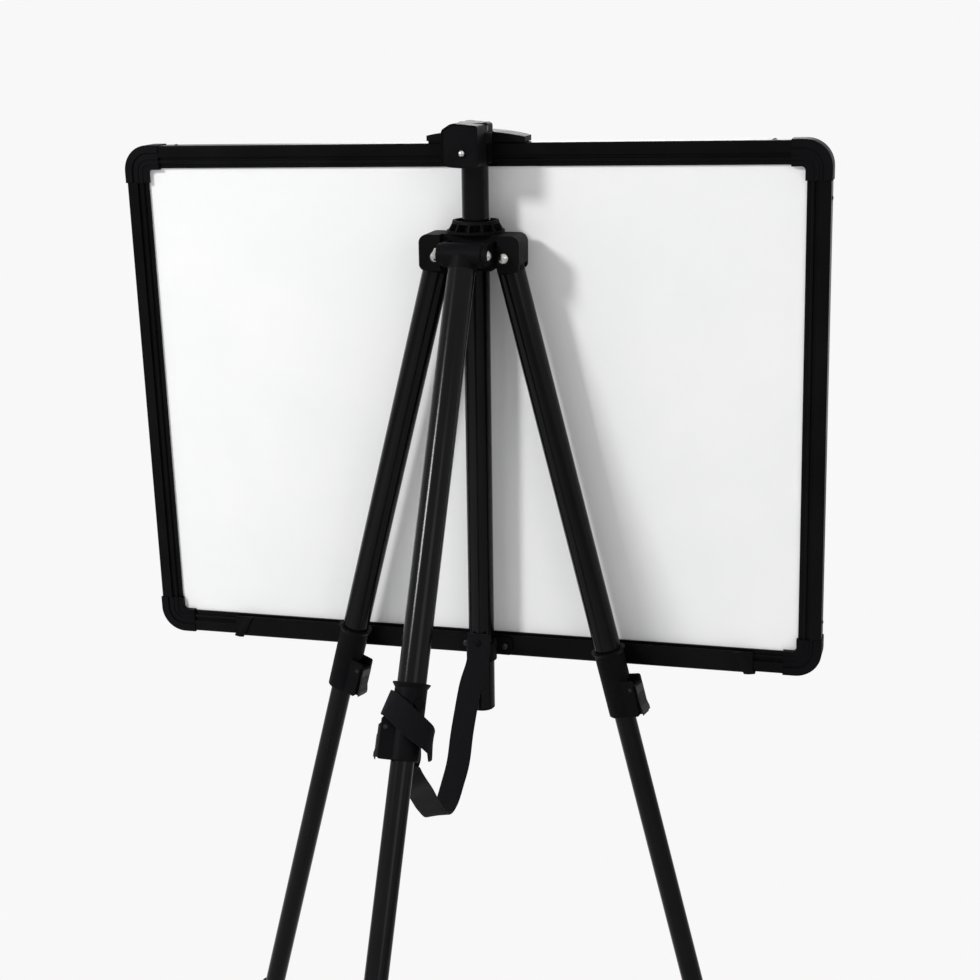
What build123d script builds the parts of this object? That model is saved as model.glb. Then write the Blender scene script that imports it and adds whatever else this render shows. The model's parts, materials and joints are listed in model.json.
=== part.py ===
from build123d import *
import math
import os

# A framed whiteboard for team tactics on a folding tripod with a fixed mast.
# Millimetres. The mast frame has its origin on the mast's axis at the height of
# the front leg pivots: X to the side, Y to the rear, Z up the mast. The finished
# stand leans back until its three feet are level.

# Board
board_width = 600.0
board_height = 440.0
board_side_shift = 14.6  # the board hangs a little to one side of the mast
board_drop = 132.3  # from the front leg pivots down to the board's centre
board_roll = 1.06  # degrees, and a little crooked
frame_gap = 4.0  # from the mast to the rear of the frame
panel_thickness = 7.2
sheet_thickness = 0.4
panel_tuck = 8.0  # how far the panel goes into its slot
fit_gap = 0.1  # between a piece and the slot that it is pushed into

# Frame extrusion
frame_face = 19.0
frame_depth = 17.0
frame_wall = 1.4
band_width = 9.7  # flat outer band
groove_width = 2.6
groove_depth = 2.0
bead_width = 2.9
bead_drop = 0.5  # the bead lies this much below the band
lip_drop = 2.5  # the inner lip lies this much below the band
cavity_width = 6.9
frame_chamfer = 0.8

# Corner caps
cap_leg = 32.0
cap_radius = 22.0
cap_proud = 0.8  # beyond the frame's outer edges and faces
cap_inner_lip = 1.2  # past the frame's inner edge
cap_rim = 6.5
cap_groove = 1.5
cap_groove_depth = 1.2
cap_field_drop = 0.6
cap_rib = 1.6
cap_rib_step = 4.2
tongue_length = 24.0
corner_screw_inset = 14.0
corner_screw_head_radius = 2.4
corner_screw_head_height = 1.0
corner_screw_radius = 1.4

# Pen tray
tray_inset = 64.5  # from each end of the frame to the tray
tray_shift = -8.5  # from the board's centre
tray_sheet = 1.5
tray_flange = 17.5
tray_reach = 46.0  # in front of the frame
tray_lip = 12.0
tray_bend = 3.0
tray_end_wall = 2.0
tray_end_slope = 10.0  # how far the rear wedge of an end leans
tray_end_wedge = 9.0
tray_end_bevel = 5.0
tray_wedge_height = 2.0

# Mast
mast_diameter = 22.0
mast_wall = 1.2
mast_top = 103.0
mast_bottom = -395.0
mast_plug_cap = 2.5
mast_plug_depth = 18.0

# Lower bracket
bracket_height = 16.0
bracket_plate = 2.2
bracket_rise = 8.5  # its screws above the frame's lower edge
bracket_screw_spacing = 35.0
bracket_screw_head_radius = 2.9
bracket_screw_head_height = 1.8
bracket_screw_radius = 1.6
bracket_ear = 6.5  # past each screw
clip_wall = 2.2
clip_mouth = 100.0  # degrees open to the rear
clip_depth = 30.0

# Top clamp
clamp_half_width = 16.5
clamp_bottom = 66.0
clamp_height = 35.5
clamp_rear = 29.5
clamp_wall = 3.0
clamp_corner = 4.0
clamp_screw_side = 2.5
clamp_screw_height = 83.0
clamp_screw_radius = 1.9
clamp_screw_head_radius = 2.6
clamp_screw_head_height = 1.4
hook_half_width = 44.5
hook_end_height = 4.4
hook_crown = 4.0
hook_ring_wall = 3.0
hook_neck = 12.0  # half the neck's width
hook_lip_drop = 7.0
hook_lip_thickness = 3.0
hook_lip_half_width = 34.0
hook_nose = 9.0  # how far the front edge bows out in the middle
gusset_width = 8.0
gusset_height = 7.0
gusset_thickness = 2.5

# Hub
hub_half_width = 42.0
hub_top = 18.0
hub_bottom = -11.3
hub_front = -7.0
hub_rear = 22.0
hub_recess_rear = 16.0
hub_recess_half_width = 23.9
hub_corner_top = 7.0
hub_corner_bottom = 5.0
hub_barrel_wall = 4.5
leg_pivot_side = 28.6
leg_plane = 7.0  # the front legs turn in a plane this far behind the mast's axis
rear_pivot_back = 36.0
rear_pivot_up = 4.0
lug_thickness = 3.8
lug_radius = 9.0
socket_gap = 0.45
cheek_gap = 0.1
bolt_radius = 3.0
bolt_gap = 0.05
bolt_head_radius = 4.4
bolt_head_height = 2.4
nut_radius = 5.2
nut_height = 3.6

# Mast collar on the hub
collar_base_radius = 23.7
collar_top_radius = 18.8
collar_height = 10.0
collar_base_height = 2.0
collar_sleeve_wall = 3.2
collar_ring_wall = 2.2
collar_rib_count = 12
collar_rib_thickness = 1.8

# Legs
front_spread = 14.4  # degrees from the mast
rear_spread = 26.8
upper_diameter = 22.5
middle_diameter = 18.0
lower_diameter = 14.0
tube_wall = 1.0
head_neck = 13.0  # from the pivot to the top of the upper tube
head_plug = 17.0
head_width = 22.6
barrel_radius = 10.0
barrel_length = 33.6
upper_end = 372.0  # distances down the leg from its pivot
middle_start = 352.0
middle_end = 757.0
lower_start = 738.0
lower_end = 1086.0
bush_length = 14.0
slide_gap = 0.08  # running clearance on the radius

# Leg locks
lock_above = 31.0  # the sleeve grips this much of the outer tube
lock_below = 28.0
lock_wall = 1.3
lock_flange = 2.0
lock_flange_height = 4.0
lock_block_height = 32.0
lock_block_half_width = 9.4
lever_half_width = 6.3
lever_gap = 0.3
lever_pin_out = 7.4  # from the inner tube's surface to the pin
lever_pin_down = 8.0  # below the block's top
lever_pin_radius = 1.8
lever_head_radius = 3.3
lever_nose = 7.0
lever_plate = 2.7
lever_reach = 4.9  # from the pin to the lever's outer face
lock_ear_reach = 3.0
lever_lip = 1.2
boss_radius = 4.2
boss_height = 2.6
boss_down = 16.0

# Feet
foot_radius = 12.0
foot_top_radius = 9.4
foot_length = 42.0
foot_flat = 0.6
foot_groove = 0.8

# Strap
strap_width = 20.0
strap_thickness = 1.6
strap_hold = 333.5  # the rivet's distance below the pivots
strap_lift = 0.3
rivet_radius = 1.9
rivet_head_radius = 3.4
rivet_head_height = 1.0

mast_radius = mast_diameter / 2
frame_rear = -mast_radius - frame_gap
board_place = Location((board_side_shift, frame_rear, -board_drop), (0, board_roll, 0))
slot_depth = (frame_depth - panel_thickness - 2 * sheet_thickness - fit_gap) / 2
tray_length = board_width - 2 * tray_inset
bracket_drop = board_drop + board_height / 2 - bracket_rise
rear_pivot = Vector(0, rear_pivot_back, rear_pivot_up)
nodes = {}


def prism(plane, face, length):
    """A face drawn on the plane, extruded along the plane's normal."""
    return extrude(plane * face, length, dir=plane.z_dir)


def cylinder_between(start, end, radius):
    """A round bar from one point to another."""
    axis = Vector(*end) - Vector(*start)
    return extrude(Plane(origin=start, z_dir=axis) * Circle(radius), axis.length)


def slab(x0, x1, y0, y1, z0, z1):
    """A box between its low and high corners."""
    low = (min(x0, x1), min(y0, y1), min(z0, z1))
    size = (abs(x1 - x0), abs(y1 - y0), abs(z1 - z0))
    return Pos(*low) * Box(*size, align=(Align.MIN, Align.MIN, Align.MIN))


def domed_head(base, direction, radius, height):
    """A low dome: a screw or rivet head."""
    ball = (radius**2 + height**2) / (2 * height)
    arc = ThreePointArc((radius, 0), (ball * math.sin(0.5 * math.asin(radius / ball)),
        height - ball * (1 - math.cos(0.5 * math.asin(radius / ball)))), (0, height))
    face = make_face(Curve() + [arc, Line((0, height), (0, 0)), Line((0, 0), (radius, 0))])
    plane = Plane(origin=base, z_dir=direction)
    return plane * revolve(Plane.XZ * face, Axis.Z)


# Board


def frame_profile():
    """Section of the extrusion: X inward from the outer edge, Y from the rear (0) to the front."""
    rear = [(0, -frame_chamfer), (frame_chamfer, 0), (band_width, 0), (band_width, -groove_depth)]
    bead_start = band_width + groove_width
    bead_end = bead_start + bead_width
    rear += [(bead_start, -groove_depth), (bead_start, -bead_drop - bead_width / 4)]
    rear += [(bead_start + bead_width / 4, -bead_drop), (bead_end - bead_width / 4, -bead_drop)]
    rear += [(bead_end, -bead_drop - bead_width / 4), (bead_end, -lip_drop), (frame_face, -lip_drop)]
    front = [(x, -frame_depth - y) for x, y in reversed(rear)]
    outline = Polygon(*rear, *front, align=None)
    cavity = Pos(frame_wall, -frame_wall) * Rectangle(
        cavity_width, frame_depth - 2 * frame_wall, align=(Align.MIN, Align.MAX))
    slot_start = frame_face - panel_tuck - fit_gap
    slot = Pos(slot_start, -slot_depth) * Rectangle(
        panel_tuck + 1, frame_depth - 2 * slot_depth, align=(Align.MIN, Align.MAX))
    return outline - cavity - slot


def frame_member(length, side):
    """One member centred on its side: 0 right (+X), 1 top, 2 left, 3 bottom."""
    across = board_width if side % 2 == 0 else board_height
    bar = extrude(Plane.XY * frame_profile(), length / 2, both=True)
    bar = Rot(0, 0, 180) * mirror(bar, Plane.XZ)
    bar = Pos(across / 2, 0, 0) * bar
    for end in (-1, 1):
        hole_z = end * (length / 2 - corner_screw_inset)
        hole = cylinder_between((across / 2 - frame_wall - 1, -frame_depth / 2, hole_z),
            (across / 2 + 1, -frame_depth / 2, hole_z), corner_screw_radius + fit_gap)
        bar -= hole
    return Rot(0, -90 * side, 0) * bar


def corner_band(start, stop, length):
    """The L between two distances from the cap's outer edges, with its bends rounded."""
    points = [(length, start), (start, start), (start, length), (stop, length), (stop, stop), (length, stop)]
    band = Polygon(*points, align=None)
    outer = band.vertices().sort_by_distance((start, start))[0]
    band = fillet(outer, max(cap_radius - start, 1.0))
    inner = band.vertices().sort_by_distance((stop, stop))[0]
    return fillet(inner, max(cap_radius - stop, 3.0))


def corner_cap():
    """A moulded corner with its outer corner at the origin, its legs along +X and +Z."""
    width = frame_face + cap_proud + cap_inner_lip
    depth = frame_depth + 2 * cap_proud
    plane = Plane(origin=(0, cap_proud, 0), x_dir=(1, 0, 0), z_dir=(0, -1, 0))
    cap = prism(plane, corner_band(0, width, cap_leg), depth)
    field = corner_band(cap_rim, width + 1, cap_leg + 1)
    for rib in range(2):
        start = cap_rim + cap_groove + cap_rib_step * (rib + 0.6)
        field -= corner_band(start, start + cap_rib, cap_leg + 2)
    channel = corner_band(cap_rim, cap_rim + cap_groove, cap_leg + 1)
    for cut, drop in ((field, cap_field_drop), (channel, cap_groove_depth)):
        cap -= prism(plane, cut, drop)
        cap -= prism(plane.offset(depth - drop), cut, drop)
    tuck = frame_face - panel_tuck - fit_gap + cap_proud
    slot = slab(tuck, cap_leg + 1, -slot_depth, slot_depth - frame_depth, tuck, cap_leg + 1)
    cap -= slot
    middle_y = -frame_depth / 2
    half_depth = frame_depth / 2 - frame_wall - fit_gap
    low = cap_proud + frame_wall + fit_gap
    high = cap_proud + frame_wall + cavity_width - fit_gap
    for along_x in (True, False):
        ends = (cap_leg, cap_leg + tongue_length)
        if along_x:
            tongue = slab(*ends, middle_y - half_depth, middle_y + half_depth, low, high)
            start = (cap_leg + corner_screw_inset, middle_y, low - 1)
            end = (cap_leg + corner_screw_inset, middle_y, high + 1)
        else:
            tongue = slab(low, high, middle_y - half_depth, middle_y + half_depth, *ends)
            start = (low - 1, middle_y, cap_leg + corner_screw_inset)
            end = (high + 1, middle_y, cap_leg + corner_screw_inset)
        cap += tongue - cylinder_between(start, end, corner_screw_radius + fit_gap / 2)
    return cap


def corner_screws():
    """The screws that hold the cap's tongues in the frame, for the same corner as corner_cap."""
    middle_y = -frame_depth / 2
    depth = frame_wall + cavity_width - fit_gap
    place = cap_leg + corner_screw_inset
    screws = []
    for point, direction in (((place, middle_y, cap_proud), (0, 0, -1)), ((cap_proud, middle_y, place), (-1, 0, 0))):
        shank_end = Vector(*point) - Vector(*direction) * depth
        head = domed_head(point, direction, corner_screw_head_radius, corner_screw_head_height)
        screws.append(head + cylinder_between(tuple(shank_end), point, corner_screw_radius))
    return screws


def tray_profile():
    """Section of the folded tray: X is to the rear, Y is up, both from the frame's lower rear edge."""
    sheet = tray_sheet
    front = -frame_depth - tray_reach
    under = -fit_gap
    outer = [(sheet, tray_flange), (sheet, under - sheet), (front - sheet, under - sheet), (front - sheet, tray_lip)]
    inner = [(front, tray_lip), (front, under), (0, under), (0, tray_flange)]
    section = Polygon(*outer, *inner, align=None)
    for point in (outer[1], outer[2]):
        corner = section.vertices().sort_by_distance(point)[0]
        section = fillet(corner, tray_bend)
    corner = section.vertices().sort_by_distance(inner[1])[0]
    return fillet(corner, tray_bend - sheet)


def tray_plane(x):
    return Plane(origin=(x, 0, -board_height / 2), x_dir=(0, 1, 0), z_dir=(1, 0, 0))


def pen_tray():
    half = tray_length / 2
    tray = prism(tray_plane(tray_shift - half), tray_profile(), tray_length)
    for hole in bracket_screw_holes():
        tray -= hole
    return tray


def bracket_screw_holes():
    """Holes for the bracket's screws through the tray's flange and the frame's rear wall, in the board's own frame."""
    holes = []
    for side in (-1, 1):
        x = side * bracket_screw_spacing / 2
        start = (x, frame_rear - frame_wall - 3, -bracket_drop)
        hole = cylinder_between(start, (x, frame_rear + tray_sheet + 1, -bracket_drop), bracket_screw_radius + fit_gap)
        holes.append(board_place.inverse() * hole)
    return holes


def tray_end(side):
    """A moulded end: a wall across the trough, a strip under the frame and a slanted wedge on the flange."""
    under = -fit_gap - tray_sheet
    wall = slab(0, tray_end_wall, -frame_depth - fit_gap, -frame_depth - tray_reach - tray_sheet, under, tray_lip)
    wall = fillet(wall.edges().filter_by(Axis.X).sort_by(Axis.Y)[:2], tray_bend)
    strip = slab(0, tray_end_wall, -frame_depth - 1, tray_sheet, under, -fit_gap)
    plane = Plane(origin=(tray_end_wall, 0, 0), x_dir=(1, 0, 0), z_dir=(0, -1, 0))
    lean = tray_end_slope
    base = [(-tray_end_wedge - lean, tray_flange), (-lean, tray_flange), (0, under), (-tray_end_wedge, under)]
    crest = [(x - (tray_end_bevel if index in (1, 2) else 0), z) for index, (x, z) in enumerate(base)]
    low = plane.offset(-tray_sheet) * Polygon(*base, align=None)
    high = plane.offset(-tray_sheet - tray_wedge_height) * Polygon(*crest, align=None)
    wedge = loft([low, high], ruled=True)
    height = (tray_flange - under) * tray_end_wall / lean
    triangle = Polygon((-tray_end_wall, under), (0, under), (-tray_end_wall, under + height), align=None)
    tip = prism(plane.offset(-tray_sheet), triangle, tray_sheet)
    end = wall + strip + wedge + tip
    end = Pos(tray_length / 2, 0, -board_height / 2) * end
    if side < 0:
        end = mirror(end, Plane.YZ)
    return Pos(tray_shift, 0, 0) * end


def build_board():
    """Panel, sheets, frame, corners and tray, placed on the mast."""
    pieces = {}
    opening = 2 * (frame_face - panel_tuck)
    width = board_width - opening
    height = board_height - opening
    middle = -frame_depth / 2
    half = panel_thickness / 2
    pieces["board_core"] = slab(-width / 2, width / 2, middle - half, middle + half, -height / 2, height / 2)
    rear_face = middle + half
    front_face = middle - half
    pieces["back_sheet"] = slab(-width / 2, width / 2, rear_face, rear_face + sheet_thickness, -height / 2, height / 2)
    pieces["front_sheet"] = slab(
        -width / 2, width / 2, front_face - sheet_thickness, front_face, -height / 2, height / 2)
    reach = 2 * (cap_leg - cap_proud)
    for side, name in enumerate(("left", "top", "right", "bottom")):
        length = (board_height if side % 2 == 0 else board_width) - reach
        member = frame_member(length, side)
        if name == "bottom":
            for hole in bracket_screw_holes():
                member -= hole
        pieces[f"frame_{name}"] = member
    screws = []
    corner = Location((-board_width / 2 - cap_proud, 0, -board_height / 2 - cap_proud))
    for side_x, side_z, name in ((1, 1, "top_left"), (-1, 1, "top_right"), (1, -1, "bottom_left"), (-1, -1, "bottom_right")):
        placed = []
        for shape in [corner_cap(), *corner_screws()]:
            shape = corner * shape
            if side_x > 0:
                shape = mirror(shape, Plane.YZ)
            if side_z > 0:
                shape = mirror(shape, Plane.XY)
            placed.append(shape)
        pieces[f"corner_cap_{name}"] = placed[0]
        screws += placed[1:]
    pieces["corner_screws"] = Compound(screws)
    pieces["pen_tray"] = pen_tray()
    pieces["tray_ends"] = Compound([tray_end(-1), tray_end(1)])
    for name, shape in pieces.items():
        nodes[name] = board_place * shape


# Mast, bracket and clamp


def build_mast():
    tube = cylinder_between((0, 0, mast_bottom), (0, 0, mast_top), mast_radius)
    inside = mast_radius - mast_wall
    tube -= cylinder_between((0, 0, mast_bottom - 1), (0, 0, mast_top + 1), inside)
    tube -= cylinder_between((0, 0, -strap_hold), (0, mast_radius + 1, -strap_hold), rivet_radius + fit_gap)
    nodes["mast_tube"] = tube
    plugs = []
    for end, way in ((mast_top, 1), (mast_bottom, -1)):
        cap = cylinder_between((0, 0, end), (0, 0, end + way * mast_plug_cap), mast_radius)
        cap = chamfer(cap.edges().filter_by(GeomType.CIRCLE).sort_by(Axis.Z)[-1 if way > 0 else 0], 0.8)
        stem = cylinder_between((0, 0, end), (0, 0, end - way * mast_plug_depth), inside - fit_gap)
        stem -= cylinder_between((0, 0, end), (0, 0, end - way * mast_plug_depth), inside - fit_gap - 2)
        plugs.append(cap + stem)
    nodes["mast_plugs"] = Compound(plugs)


def build_bracket():
    """The clip that holds the mast against the lower frame, and its two screws."""
    z0 = -bracket_drop - bracket_height / 2
    z1 = -bracket_drop + bracket_height / 2
    seat = frame_rear + tray_sheet
    half = bracket_screw_spacing / 2 + bracket_ear
    plate = slab(-half, half, seat, seat + bracket_plate, z0, z1)
    plate = fillet(plate.edges().filter_by(Axis.Y), 3.0)
    ring = cylinder_between((0, 0, z0), (0, 0, z1), mast_radius + clip_wall)
    spread = clip_depth * math.tan(math.radians(clip_mouth / 2))
    mouth = Polygon((0, 0), (spread, clip_depth), (-spread, clip_depth), align=None)
    ring -= prism(Plane(origin=(0, 0, z0)), mouth, bracket_height)
    ring -= slab(-half, half, seat - 10, seat, z0, z1)
    bracket = plate + ring - cylinder_between((0, 0, z0 - 1), (0, 0, z1 + 1), mast_radius + bolt_gap)
    screws = []
    for side in (-1, 1):
        x = side * bracket_screw_spacing / 2
        face = seat + bracket_plate
        bracket -= cylinder_between((x, seat - 1, -bracket_drop), (x, face + 1, -bracket_drop),
            bracket_screw_radius + fit_gap)
        head = domed_head((x, face, -bracket_drop), (0, 1, 0), bracket_screw_head_radius, bracket_screw_head_height)
        shank = cylinder_between((x, frame_rear - frame_wall - 2, -bracket_drop), (x, face, -bracket_drop),
            bracket_screw_radius)
        screws.append(head + shank)
    nodes["mast_bracket"] = bracket
    nodes["bracket_screws"] = Compound(screws)


def hook_base():
    """The underside of the hook: clear of the highest point of the frame below it."""
    top = board_height / 2 - board_drop
    return top + math.tan(math.radians(board_roll)) * (hook_half_width + board_side_shift) + 0.3


def build_clamp():
    """The block on the mast's top and the wide hook that it holds over the board's upper edge."""
    top = clamp_bottom + clamp_height
    half = clamp_half_width
    front = frame_rear + 1.0
    block = slab(-half, half, front, clamp_rear, clamp_bottom, top)
    rear_edges = block.edges().filter_by(Axis.Z).group_by(Axis.Y)[-1]
    block = fillet(rear_edges, clamp_corner)
    block = chamfer(block.faces().sort_by(Axis.Z)[-1].edges(), 1.6)
    inside = half - clamp_wall
    room = slab(-inside, inside, mast_radius + clamp_wall, clamp_rear - clamp_wall, clamp_bottom - 1, top - clamp_wall)
    block -= room
    block -= cylinder_between((0, 0, clamp_bottom - 1), (0, 0, top + 1), mast_radius + bolt_gap)
    base = hook_base()
    ring_radius = mast_radius + hook_ring_wall
    hook_top = base + hook_end_height + hook_crown
    pocket = cylinder_between((0, 0, base - fit_gap), (0, 0, hook_top + fit_gap), ring_radius + fit_gap)
    neck_room = slab(-hook_neck - fit_gap, hook_neck + fit_gap, front - 1, 0, base - fit_gap, hook_top + fit_gap)
    screw_start = (clamp_screw_side, 0, clamp_screw_height)
    screw_face = (clamp_screw_side, clamp_rear, clamp_screw_height)
    block -= pocket
    block -= neck_room
    block -= cylinder_between(screw_start, (clamp_screw_side, clamp_rear + 1, clamp_screw_height),
        clamp_screw_radius + fit_gap)
    nodes["clamp_block"] = block

    rear = frame_rear + 0.5
    nose = frame_rear - frame_depth - hook_lip_thickness - 0.3
    plan = make_face(Curve() + [
        Line((-hook_half_width, nose), (-hook_half_width, rear)),
        Line((-hook_half_width, rear), (hook_half_width, rear)),
        Line((hook_half_width, rear), (hook_half_width, nose)),
        ThreePointArc((hook_half_width, nose), (0, nose - hook_nose), (-hook_half_width, nose))])
    side = make_face(Curve() + [
        Line((-hook_half_width, base), (hook_half_width, base)),
        Line((hook_half_width, base), (hook_half_width, base + hook_end_height)),
        ThreePointArc((hook_half_width, base + hook_end_height), (0, hook_top), (-hook_half_width, base + hook_end_height)),
        Line((-hook_half_width, base + hook_end_height), (-hook_half_width, base))])
    blade = prism(Plane.XY.offset(base - 1), plan, hook_crown + hook_end_height + 2)
    blade &= prism(Plane.XZ.offset(-rear - 5), side, frame_depth + hook_nose + hook_lip_thickness + 10)
    lip_y = frame_rear - frame_depth - 0.3
    lip = slab(-hook_lip_half_width, hook_lip_half_width, lip_y - hook_lip_thickness, lip_y, base - hook_lip_drop, base + 1)
    lip = fillet(lip.edges().filter_by(Axis.Y).sort_by(Axis.Z)[:2], 4.0)
    neck = slab(-hook_neck, hook_neck, rear - 1, 0, base, hook_top)
    ring = cylinder_between((0, 0, base), (0, 0, hook_top), ring_radius)
    hook = blade + lip + neck + ring
    for side_x in (-1, 1):
        x = side_x * (clamp_half_width + fit_gap)
        tip = x + side_x * gusset_width
        low = base + hook_end_height
        rib = Polygon((x, low), (tip, low), (x, hook_top + gusset_height), align=None)
        hook += prism(Plane.XZ.offset(-rear), rib, gusset_thickness)
    hook -= cylinder_between((0, 0, base - 1), (0, 0, hook_top + 1), mast_radius + bolt_gap)
    nodes["top_hook"] = hook

    tip = (clamp_screw_side, mast_radius + slide_gap, clamp_screw_height)
    head = domed_head(screw_face, (0, 1, 0), clamp_screw_head_radius, clamp_screw_head_height)
    nodes["clamp_screw"] = head + cylinder_between(tip, screw_face, clamp_screw_radius)


# Hub


def socket_cut(side):
    """The room that a front leg's head needs from folded to spread."""
    reach = upper_diameter / 2 + socket_gap
    below = hub_bottom - 10
    spread = math.radians(front_spread)
    run = -below
    x = leg_pivot_side
    outer_x = x + reach * math.cos(spread)
    outer_z = reach * math.sin(spread)
    lean = (run + outer_z) * math.tan(spread)
    points = [(x - reach, 0), (x - reach, below), (outer_x + lean, below), (outer_x, outer_z), (x, 0)]
    shape = Circle(reach)
    shape = Pos(x, 0) * shape + Polygon(*points, align=None)
    depth = head_width + 2 * cheek_gap
    cut = prism(Plane.XZ.offset(-leg_plane - depth / 2), shape, depth)
    return cut if side > 0 else mirror(cut, Plane.YZ)


def build_hub():
    """One moulding: a sleeve on the mast, two sockets for the front legs and two rear lugs."""
    outline = Rectangle(2 * hub_half_width, hub_top - hub_bottom, align=(Align.CENTER, Align.MIN))
    outline = Pos(0, hub_bottom) * outline
    upper = outline.vertices().sort_by(Axis.Y)[-2:]
    outline = fillet(upper, hub_corner_top)
    lower = outline.vertices().sort_by(Axis.Y)[:2]
    outline = fillet(lower, hub_corner_bottom)
    hub = prism(Plane.XZ.offset(-hub_rear), outline, hub_rear - hub_front)
    hub -= slab(-hub_recess_half_width, hub_recess_half_width, hub_recess_rear, hub_rear + 1, hub_bottom - 1, hub_top + 1)
    sleeve_radius = mast_radius + hub_barrel_wall
    hub += cylinder_between((0, 0, hub_bottom), (0, 0, hub_top), sleeve_radius)
    for side in (-1, 1):
        inner = side * (barrel_length / 2 + cheek_gap)
        outer = inner + side * lug_thickness
        lug = cylinder_between((inner, rear_pivot.Y, rear_pivot.Z), (outer, rear_pivot.Y, rear_pivot.Z), lug_radius)
        lug += slab(inner, outer, hub_recess_rear - 2, rear_pivot.Y, rear_pivot.Z - lug_radius, rear_pivot.Z + lug_radius)
        hub += lug
        hub -= socket_cut(side)
    hub -= cylinder_between((0, 0, hub_bottom - 1), (0, 0, hub_top + 1), mast_radius + bolt_gap)
    for side in (-1, 1):
        x = side * leg_pivot_side
        hub -= cylinder_between((x, hub_front - 1, 0), (x, hub_rear + 1, 0), bolt_radius + bolt_gap)
    half = barrel_length / 2 + cheek_gap + lug_thickness
    hub -= cylinder_between((-half - 1, rear_pivot.Y, rear_pivot.Z), (half + 1, rear_pivot.Y, rear_pivot.Z),
        bolt_radius + bolt_gap)
    nodes["hub_body"] = hub

    bolts = []
    for side in (-1, 1):
        x = side * leg_pivot_side
        bolts.append(pivot_bolt((x, hub_rear, 0), (x, hub_front, 0)))
    bolts.append(pivot_bolt((-half, rear_pivot.Y, rear_pivot.Z), (half, rear_pivot.Y, rear_pivot.Z)))
    nodes["pivot_bolts"] = Compound([bolt for bolt, nut in bolts])
    nodes["pivot_nuts"] = Compound([nut for bolt, nut in bolts])


def pivot_bolt(head_face, nut_face):
    """A bolt whose head lies on one face and whose nut lies on the other."""
    start = Vector(*head_face)
    way = (Vector(*nut_face) - start).normalized()
    tip = Vector(*nut_face) + way * (nut_height + 1)
    bolt = cylinder_between(head_face, tuple(tip), bolt_radius)
    bolt += domed_head(head_face, tuple(-way), bolt_head_radius, bolt_head_height)
    hexagon = RegularPolygon(nut_radius, 6)
    nut = extrude(Plane(origin=nut_face, z_dir=way) * hexagon, nut_height)
    nut -= cylinder_between(nut_face, tuple(tip), bolt_radius + bolt_gap)
    return bolt, nut


def build_mast_collar():
    """The ribbed collar on the hub through which the mast stands."""
    z0 = hub_top
    z1 = hub_top + collar_height
    inner = mast_radius + bolt_gap
    sleeve = mast_radius + collar_sleeve_wall
    section = Polygon((inner, z0), (collar_base_radius, z0), (collar_base_radius, z0 + collar_base_height),
        (sleeve, z0 + collar_base_height), (sleeve, z1 - 2), (inner + 0.6, z1 - 2), (inner, z1 - 3), align=None)
    collar = revolve(Plane.XZ * section, Axis.Z)
    ring_low = collar_top_radius - collar_ring_wall
    ring = Polygon((ring_low, z1 - 2.5), (collar_top_radius + 0.6, z1 - 2.5), (collar_top_radius, z1), (ring_low, z1), align=None)
    collar += revolve(Plane.XZ * ring, Axis.Z)
    rib = Polygon((sleeve - 0.5, z0 + 1), (collar_base_radius - 0.4, z0 + 1), (collar_top_radius, z1 - 0.8),
        (sleeve - 0.5, z1 - 2.4), align=None)
    rib = extrude(Plane.XZ * rib, collar_rib_thickness / 2, both=True)
    for count in range(collar_rib_count):
        collar += Rot(0, 0, 360 / collar_rib_count * count) * rib
    front = -mast_radius - collar_sleeve_wall - 0.2
    collar -= slab(-collar_base_radius - 1, collar_base_radius + 1, front - 20, front, z0 - 1, z1 + 1)
    nodes["mast_collar"] = collar


# Legs: built upright with the pivot at the origin and the foot down the Z axis


def tube(diameter, start, end):
    bar = cylinder_between((0, 0, -end), (0, 0, -start), diameter / 2)
    return bar - cylinder_between((0, 0, -end - 1), (0, 0, -start + 1), diameter / 2 - tube_wall)


def front_head():
    """The knuckle that turns between the hub's cheeks and plugs into the upper tube."""
    radius = upper_diameter / 2
    eye = cylinder_between((0, -head_width / 2, 0), (0, head_width / 2, 0), radius - 0.6)
    neck = cylinder_between((0, 0, -head_neck), (0, 0, 0), radius)
    plug = cylinder_between((0, 0, -head_neck - head_plug), (0, 0, -head_neck), radius - tube_wall - fit_gap / 2)
    head = eye + neck + plug
    return head - cylinder_between((0, -head_width, 0), (0, head_width, 0), bolt_radius + bolt_gap)


def rear_head():
    """The cross barrel between the rear lugs, with its plug."""
    radius = upper_diameter / 2
    half = barrel_length / 2
    barrel = cylinder_between((-half, 0, 0), (half, 0, 0), barrel_radius)
    barrel = chamfer(barrel.edges().filter_by(GeomType.CIRCLE), 0.8)
    neck = cylinder_between((0, 0, -head_neck), (0, 0, -3), radius)
    plug = cylinder_between((0, 0, -head_neck - head_plug), (0, 0, -head_neck), radius - tube_wall - fit_gap / 2)
    head = barrel + neck + plug
    return head - cylinder_between((-half - 1, 0, 0), (half + 1, 0, 0), bolt_radius + bolt_gap)


def lock_pin(inner_diameter, joint):
    """The lever's pin: its distance from the leg's axis and its distance down the leg."""
    block_top = joint + lock_below - lock_block_height
    return inner_diameter / 2 + lever_pin_out, block_top + lever_pin_down


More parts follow.
